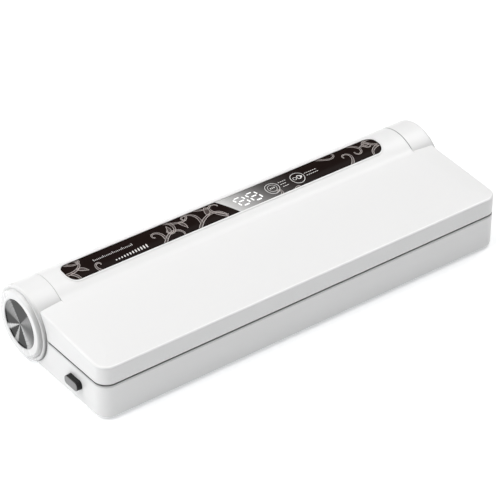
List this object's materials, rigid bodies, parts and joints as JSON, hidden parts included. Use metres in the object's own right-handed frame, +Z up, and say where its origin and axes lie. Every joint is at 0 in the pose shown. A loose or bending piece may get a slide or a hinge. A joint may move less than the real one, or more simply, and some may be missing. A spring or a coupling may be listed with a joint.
{
  "type": "vacuum sealer",
  "caption": "Low countertop vacuum sealer with a flat lid on a rear barrel hinge, display panel on the barrel, spun-metal end discs and side release buttons.",
  "frame": {"origin": "centre of the footprint, on the surface it stands on", "axes": "+X along the length to the right, -Y the front where the bag goes in, +Z up"},
  "size_m": [0.3898, 0.1346, 0.0627],
  "materials": {
    "white_shell": "satin gloss, fine moulded surface",
    "base_plate": "fine spark texture",
    "inner_moulding": "satin moulded plastic",
    "spun_metal": "concentric spun finish",
    "button_grey": "satin dark grey",
    "black_gloss": "gloss black with printed ornament",
    "dark_rubber": "matt",
    "gasket_foam": "closed-cell foam",
    "clear_hose": "milky silicone",
    "heat_board": "glass-filled board",
    "nonstick_film": "woven non-stick film",
    "bright_steel": "plated",
    "bearing_brass": "machined",
    "circuit_board": "solder resist",
    "black_parts": "moulded black",
    "lead_cover": "insulation",
    "plain_aluminium": "drawn",
    "pump_plastic": "moulded dark grey",
    "transformer_core": "lacquered laminations"
  },
  "bodies": {
    "base": {"base_casing": "white_shell", "bottom_cover": "base_plate", "bottom_screws": "bright_steel", "rubber_feet": "dark_rubber", "seal_deck": "inner_moulding", "lower_gasket": "gasket_foam", "heater_bar": "heat_board", "heating_strip": "bright_steel", "nonstick_tape": "nonstick_film", "heater_terminals": "bright_steel", "lid_sensor": "black_parts", "mains_inlet": "black_parts", "inlet_pins": "bearing_brass", "inlet_leads": "lead_cover", "heater_leads": "lead_cover", "latch_brackets": "bright_steel", "latch_pins": "bright_steel", "hinge_pins": "bright_steel", "latch_spring_left": "bright_steel", "latch_spring_right": "bright_steel", "end_bezel_left": "white_shell", "end_bezel_right": "white_shell", "end_disc_left": "spun_metal", "end_disc_right": "spun_metal"},
    "lid": {"lid_shell": "white_shell", "barrel_cover": "white_shell", "barrel_screws": "bright_steel", "lid_inner_panel": "inner_moulding", "panel_screws": "bright_steel", "upper_gasket": "gasket_foam", "pressure_strip": "dark_rubber", "lid_magnet": "bright_steel", "suction_nozzle": "inner_moulding", "vacuum_hose": "clear_hose", "pump_head": "pump_plastic", "pump_plate": "plain_aluminium", "pump_motor": "plain_aluminium", "pump_cradle": "dark_rubber", "panel_overlay": "black_gloss", "key_switches": "black_parts", "display_board": "circuit_board", "led_display": "black_parts", "board_ribbon": "lead_cover", "control_board": "circuit_board", "transformer": "transformer_core", "relay": "black_parts", "capacitor": "black_parts", "board_plug": "black_parts", "heat_sink": "plain_aluminium", "lid_catch_left": "inner_moulding", "lid_catch_right": "inner_moulding", "hinge_bush_left": "bearing_brass", "hinge_bush_right": "bearing_brass"},
    "pump_shaft": {"motor_shaft": "bright_steel"},
    "button_left": {"release_button_left": "button_grey"},
    "button_right": {"release_button_right": "button_grey"},
    "hook_left": {"latch_hook_left": "bright_steel"},
    "hook_right": {"latch_hook_right": "bright_steel"},
    "mode_key": {"mode_key": "black_gloss"},
    "seal_key": {"seal_key": "black_gloss"}
  },
  "joints": [
    {"name": "lid_hinge", "type": "hinge", "parent": "base", "child": "lid", "pos_m": [0, 0.0362, 0.0314], "axis": [-1, 0, 0], "range_deg": [0, 60]},
    {"name": "pump_spin", "type": "hinge", "parent": "lid", "child": "pump_shaft", "pos_m": [-0.08, 0.0362, 0.0314], "axis": [1, 0, 0], "continuous": true},
    {"name": "button_left_press", "type": "slide", "parent": "base", "child": "button_left", "axis": [1, 0, 0], "range_m": [0, 0.003], "stiffness_N_per_m": 400},
    {"name": "hook_left_swing", "type": "hinge", "parent": "base", "child": "hook_left", "pos_m": [-0.176, -0.031, 0.0082], "axis": [0, 1, 0], "range_deg": [0, 17.55], "deforming": ["latch_spring_left"]},
    {"name": "button_right_press", "type": "slide", "parent": "base", "child": "button_right", "axis": [-1, 0, 0], "range_m": [0, 0.003], "stiffness_N_per_m": 400},
    {"name": "hook_right_swing", "type": "hinge", "parent": "base", "child": "hook_right", "pos_m": [0.176, -0.031, 0.0082], "axis": [0, -1, 0], "range_deg": [0, 17.55], "deforming": ["latch_spring_right"]},
    {"name": "mode_key_press", "type": "slide", "parent": "lid", "child": "mode_key", "axis": [0, 0.1392, -0.9903], "range_m": [0, 0.0005], "stiffness_N_per_m": 900},
    {"name": "seal_key_press", "type": "slide", "parent": "lid", "child": "seal_key", "axis": [0, 0.1392, -0.9903], "range_m": [0, 0.0005], "stiffness_N_per_m": 900}
  ],
  "couplings": [
    {"joint": "hook_left_swing", "follows": "button_left_press", "rad_per_m": 102.04},
    {"joint": "hook_right_swing", "follows": "button_right_press", "rad_per_m": 102.04}
  ]
}
